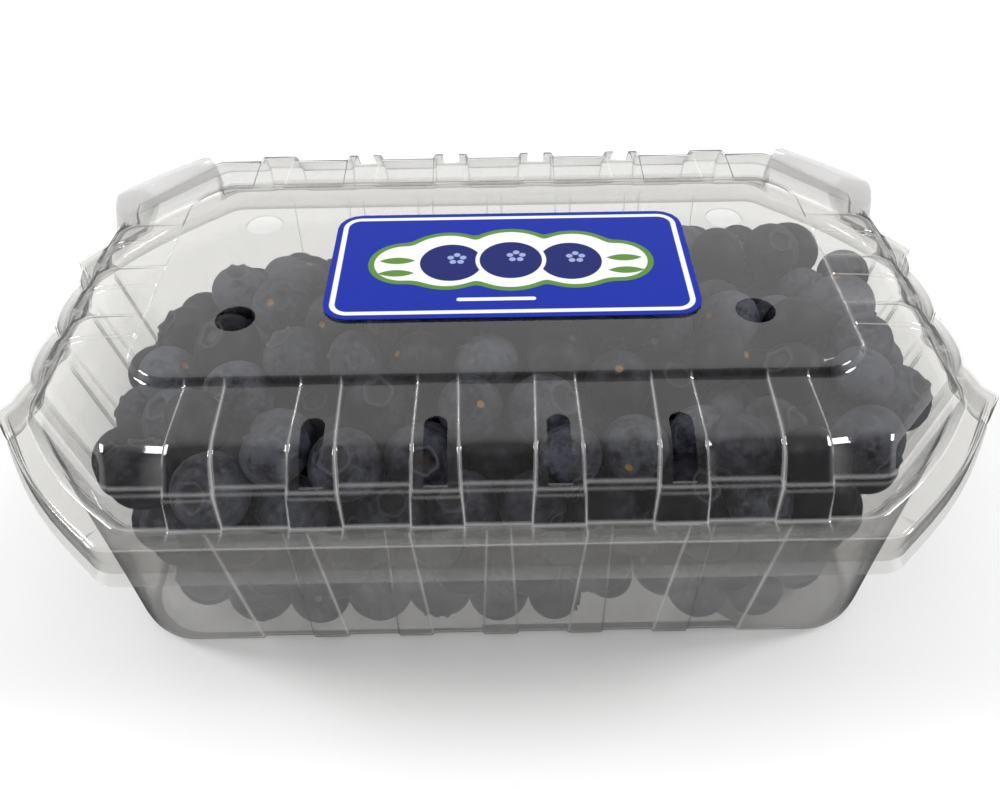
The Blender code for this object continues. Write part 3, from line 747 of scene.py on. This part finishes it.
def berry_mesh(name, seed):
    """One blueberry of unit half-width: stem scar below, five-pointed crown round a hollow above."""
    random = np.random.RandomState(seed)
    tall = random.uniform(0.84, 0.93)
    lean = random.uniform(-0.035, 0.035, 2)
    crown_size = random.uniform(0.92, 1.15)
    sides = 22
    profile = [(0.0, -tall * 0.93, -1.6), (0.075, -tall * 0.925, -1.5), (0.115, -tall * 0.965, -1.2), (0.16, -tall * 0.985, -1.05)]
    for step in range(10):
        angle = math.radians(-73.0 + step * (73.0 + 58.0) / 9.0)
        profile.append((math.cos(angle) ** 0.94, math.sin(angle) * tall, math.sin(angle)))
    top = tall * 0.905
    crown = ((0.43, -0.004, 1.0), (0.42, 0.045, 1.1), (0.37, 0.050, 1.3), (0.31, -0.055, 1.5), (0.13, -0.085, 1.7))
    for radius, rise, pole in crown:
        profile.append((radius * crown_size, top + rise, pole))
    phase = random.uniform(0.0, 1.0)
    ragged = random.uniform(0.3, 1.1)
    bm = bmesh.new()
    poles = bm.verts.layers.float.new("pole")
    own = bm.verts.layers.float_vector.new("own")
    rows = []
    shift = random.uniform(-20.0, 20.0, 3)

    def vertex(x, y, z, pole):
        vert = bm.verts.new((x, y, z))
        vert[poles] = pole
        vert[own] = Vector((x + shift[0], y + shift[1], z + shift[2]))
        return vert

    for radius, height, pole in profile[1:]:
        row = []
        for side in range(sides):
            angle = 2.0 * math.pi * side / sides
            point = math.cos(5.0 * (angle + phase) + ragged * math.sin(2.0 * angle + 9.0 * phase))
            lobe = 1.0 + 0.012 * math.cos(2.0 * angle + 7.0 * phase) + 0.010 * math.sin(3.0 * angle)
            lift = 0.0
            if pole > 0.99:
                share = 1.0 if 1.05 < pole < 1.4 else 0.45
                lobe *= 1.0 + 0.085 * share * point
                lift = 0.040 * share * (point if pole < 1.4 else 0.4 * point)
            r = radius * lobe
            z = height + lift
            row.append(vertex(r * math.cos(angle) + lean[0] * z, r * math.sin(angle) + lean[1] * z, z, pole))
        rows.append(row)
    stem = vertex(0.0, 0.0, profile[0][1], profile[0][2])
    tip = vertex(lean[0] * top, lean[1] * top, top - 0.045, 1.85)
    for lower, upper in zip(rows, rows[1:]):
        for side in range(sides):
            after = (side + 1) % sides
            bm.faces.new((lower[side], lower[after], upper[after], upper[side]))
    for side in range(sides):
        after = (side + 1) % sides
        bm.faces.new((stem, rows[0][after], rows[0][side]))
        bm.faces.new((rows[-1][side], rows[-1][after], tip))
    mesh = bpy.data.meshes.new(name)
    bm.to_mesh(mesh)
    bm.free()
    return mesh


def scatter_tree(kinds, skin):
    """Puts one of the berry kinds on each point, sized and turned by the point's own values."""
    tree = bpy.data.node_groups.new("scatter_berries", "GeometryNodeTree")
    face = tree.interface
    face.new_socket("Geometry", in_out="INPUT", socket_type="NodeSocketGeometry")
    size = face.new_socket("Size", in_out="INPUT", socket_type="NodeSocketFloat")
    size.default_value = 1.0
    face.new_socket("Geometry", in_out="OUTPUT", socket_type="NodeSocketGeometry")
    nodes, links = tree.nodes, tree.links
    given, made = nodes.new("NodeGroupInput"), nodes.new("NodeGroupOutput")
    pool = nodes.new("GeometryNodeCollectionInfo")
    pool.inputs["Collection"].default_value = kinds
    pool.inputs["Separate Children"].default_value = True
    pool.inputs["Reset Children"].default_value = True
    named = {}
    for name, kind in (("width", "FLOAT"), ("turn", "FLOAT_VECTOR"), ("kind", "INT")):
        node = nodes.new("GeometryNodeInputNamedAttribute")
        node.data_type = kind
        node.inputs["Name"].default_value = name
        named[name] = node.outputs["Attribute"]
    scale = nodes.new("ShaderNodeMath")
    scale.operation = "MULTIPLY"
    links.new(named["width"], scale.inputs[0])
    links.new(given.outputs["Size"], scale.inputs[1])
    place = nodes.new("GeometryNodeInstanceOnPoints")
    place.inputs["Pick Instance"].default_value = True
    links.new(given.outputs["Geometry"], place.inputs["Points"])
    links.new(pool.outputs[0], place.inputs["Instance"])
    links.new(named["kind"], place.inputs["Instance Index"])
    links.new(named["turn"], place.inputs["Rotation"])
    links.new(scale.outputs[0], place.inputs["Scale"])
    real = nodes.new("GeometryNodeRealizeInstances")
    links.new(place.outputs[0], real.inputs[0])
    finish = nodes.new("GeometryNodeSetMaterial")
    finish.inputs["Material"].default_value = skin
    links.new(real.outputs[0], finish.inputs["Geometry"])
    links.new(finish.outputs[0], made.inputs[0])
    return tree, size.identifier


def make_berries(skin):
    centres, radii = settled_berries()
    random = np.random.RandomState(5)
    deep = np.minimum(heap_top(centres[:, 0], centres[:, 1]) - centres[:, 2], centres[:, 2])
    for towards, past in past_walls(centres, radii):
        deep = np.minimum(deep, radii - past)
    shown = deep < 0.0165
    centres, radii = centres[shown], radii[shown]
    kinds = bpy.data.collections.new("berry_kinds")
    bpy.context.scene.collection.children.link(kinds)
    for seed in range(7):
        mesh = berry_mesh("berry_kind_%d" % seed, 40 + seed)
        obj = bpy.data.objects.new("berry_kind_%d" % seed, mesh)
        mesh.shade_smooth()
        kinds.objects.link(obj)
    tree, size_input = scatter_tree(kinds, skin)
    turns = []
    for place in centres:
        way = random.normal(0.0, 1.0, 3)
        if random.uniform() < 0.34:
            way = np.array([place[0] * 6.0, place[1] * 9.0 - 0.25, 0.75]) + random.normal(0.0, 0.33, 3)
        turn = Vector(way).to_track_quat("Z", "Y") @ Matrix.Rotation(random.uniform(0.0, 6.28), 3, "Z").to_quaternion()
        turns.append(tuple(turn.to_euler()))
    turns = np.array(turns)
    upper = centres[:, 2] > 0.0300
    pieces = []
    for name, chosen in (("berries_upper", upper), ("berries_lower", ~upper)):
        mesh = bpy.data.meshes.new(name)
        mesh.from_pydata(centres[chosen].tolist(), [], [])
        for label, kind, values in (
            ("width", "FLOAT", radii[chosen] * 0.980),
            ("kind", "INT", random.randint(0, 7, chosen.sum())),
            ("shade", "FLOAT", random.uniform(0.0, 1.0, chosen.sum())),
        ):
            layer = mesh.attributes.new(label, kind, "POINT")
            layer.data.foreach_set("value", values)
        layer = mesh.attributes.new("turn", "FLOAT_VECTOR", "POINT")
        layer.data.foreach_set("vector", turns[chosen].ravel())
        obj = mesh_object(name, mesh)
        spread = obj.modifiers.new("scatter", "NODES")
        spread.node_group = tree
        spread[size_input] = 1.0
        finished(obj)
        obj.data.shade_smooth()
        pieces.append(obj)
    for obj in list(kinds.objects):
        bpy.data.objects.remove(obj)
    bpy.data.collections.remove(kinds)
    return pieces


def make_core(finish):
    """Dark inside of the heap, well under the outer berries: painted shade standing in for the shaded berries hidden
    there.
    """
    bm = bmesh.new()
    bmesh.ops.create_icosphere(bm, subdivisions=5, radius=1.0)
    for vert in bm.verts:
        x, y, z = vert.co
        half_x, half_y = 0.0660, 0.0370
        length = max((abs(x) ** 5 + abs(y) ** 5 + abs(z) ** 5) ** 0.2, 1e-6)
        px, py, share = x / length * half_x, y / length * half_y, (z / length + 1.0) / 2.0
        top = float(heap_top(np.array(px), np.array(py))) - 0.0125
        lump = 0.0010 * math.sin(px * 470.0) * math.cos(py * 450.0)
        vert.co = (px, py, 0.0105 + (top - 0.0105) * share + lump * share)
    bmesh.ops.recalc_face_normals(bm, faces=bm.faces)
    mesh = bpy.data.meshes.new("heap_core")
    bm.to_mesh(mesh)
    bm.free()
    core = mesh_object("heap_core", mesh)
    core.data.shade_smooth()
    core.data.materials.append(finish)
    return core


# ------------------------------------------------------------------ studio

def make_floor():
    mesh = bpy.data.meshes.new("floor")
    mesh.from_pydata([(-2.5, -2.5, 0), (2.5, -2.5, 0), (2.5, 2.5, 0), (-2.5, 2.5, 0)], [], [(0, 1, 2, 3)])
    floor = mesh_object("floor", mesh)
    mesh.materials.append(floor_paint())


def area_light(name, place, aim, size, power, colour=(1.0, 1.0, 1.0)):
    data = bpy.data.lights.new(name, "AREA")
    data.shape = "RECTANGLE"
    data.size, data.size_y = size
    data.energy = power
    data.color = colour
    light = bpy.data.objects.new(name, data)
    light.location = place
    light.rotation_euler = (Vector(aim) - Vector(place)).to_track_quat("-Z", "Y").to_euler()
    bpy.context.scene.collection.objects.link(light)


def make_studio():
    world = bpy.data.worlds.new("studio_air")
    world.use_nodes = True
    tree = world.node_tree
    background = tree.nodes["Background"]
    where = tree.nodes.new("ShaderNodeTexCoord").outputs["Generated"]
    split = tree.nodes.new("ShaderNodeSeparateXYZ")
    tree.links.new(where, split.inputs[0])
    behind = calc(tree, "MULTIPLY", ramp(tree, split.outputs[1], -0.05, 0.40), 0.74)
    above = calc(tree, "MULTIPLY", ramp(tree, split.outputs[2], 0.72, 0.99), 0.18)
    sides = calc(tree, "MULTIPLY", ramp(tree, calc(tree, "ABSOLUTE", split.outputs[0]), 0.66, 0.90), 0.85)
    room = calc(tree, "ADD", calc(tree, "MAXIMUM", calc(tree, "MAXIMUM", behind, above), sides), 0.08)
    mirrored = tree.nodes.new("ShaderNodeLightPath").outputs["Is Glossy Ray"]
    even = calc(tree, "MULTIPLY", calc(tree, "SUBTRACT", 1.0, mirrored), 0.86)
    tree.links.new(calc(tree, "ADD", even, calc(tree, "MULTIPLY", mirrored, room)), background.inputs["Strength"])
    background.inputs["Color"].default_value = (1.0, 1.0, 1.0, 1.0)
    bpy.context.scene.world = world
    area_light("lamp_left", (-0.95, 0.15, 0.85), (0.0, 0.0, 0.03), (0.30, 0.30), 5.5)
    area_light("lamp_right", (0.95, 0.05, 0.85), (0.0, 0.0, 0.03), (0.30, 0.30), 5.5)
    bpy.context.scene.view_settings.view_transform = "Standard"


def make_camera():
    data = bpy.data.cameras.new("camera")
    data.sensor_width = 36.0
    data.lens = 33.854
    data.clip_start = 0.01
    camera = bpy.data.objects.new("camera", data)
    turn = Matrix.Rotation(math.radians(-0.133), 4, "Z") @ Matrix.Rotation(math.radians(90.0 - 43.0), 4, "X")
    camera.matrix_world = Matrix.Translation((0.0003, -0.1536, 0.1686)) @ turn @ Matrix.Rotation(math.radians(-0.856), 4, "Z")
    bpy.context.scene.collection.objects.link(camera)
    bpy.context.scene.camera = camera


# ------------------------------------------------------------------ putting it together

def main():
    make_camera()
    make_studio()
    make_floor()
    # second number: veil of haze and painted reflection; third: strength of the painted highlight lines
    lid_clear = clear_sheet("lid_clear", 0.030, 0.34, 0.06)
    tray_clear = clear_sheet("tray_clear", 0.17, 0.42, 0.10)
    lid = make_lid(lid_clear)
    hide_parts("lid")
    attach(lid, "lid")
    tray = make_tray(tray_clear)
    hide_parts("tray")
    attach(tray, "tray")
    core = make_core(core_skin())
    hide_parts("berries")
    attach(core, "tray")
    for piece in make_berries(berry_skin()):
        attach(piece, "tray")
    for name, finish in (("label", label_print()), ("hinge_fold", tray_clear)):
        node = frame["nodes"][name]
        node.data.materials.clear()
        node.data.materials.append(finish)


main()
